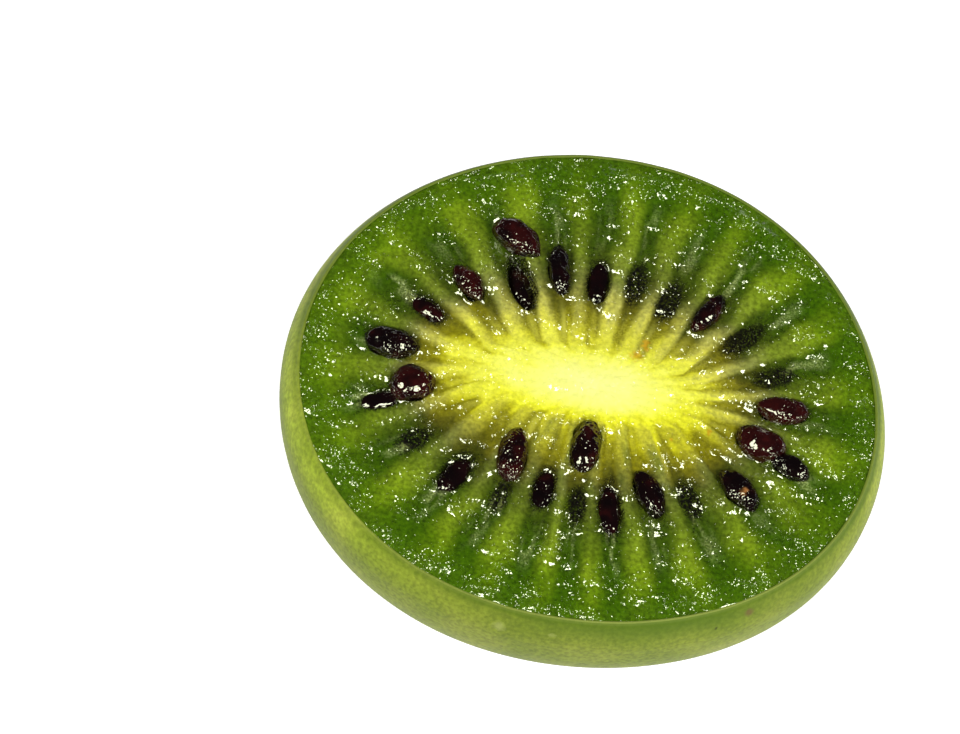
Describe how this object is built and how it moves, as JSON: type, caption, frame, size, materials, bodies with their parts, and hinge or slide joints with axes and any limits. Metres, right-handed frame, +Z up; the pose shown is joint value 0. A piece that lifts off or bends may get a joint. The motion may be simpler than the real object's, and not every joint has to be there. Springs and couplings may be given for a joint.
{
  "type": "hardy kiwi half",
  "caption": "Half of a hardy kiwi cut across, resting on its smooth green skin with the cut face up: pale oval core, rays, dark seeds and green flesh.",
  "frame": {"origin": "middle of the small flat spot that the half rests on, under the middle of its bounding box", "axes": "+Z up out of the cut face, +X along the long side of the oval core"},
  "size_m": [0.0264, 0.024, 0.0095],
  "materials": {
    "flesh": "wet cut fruit flesh with pale rays and dark green chambers",
    "core": "moist pale yellow fruit core",
    "skin": "smooth hairless yellow-green fruit skin with a soft sheen",
    "seed": "wet maroon-black seed coat"
  },
  "bodies": {
    "root": {"flesh": "flesh", "core": "core"}
  },
  "joints": []
}
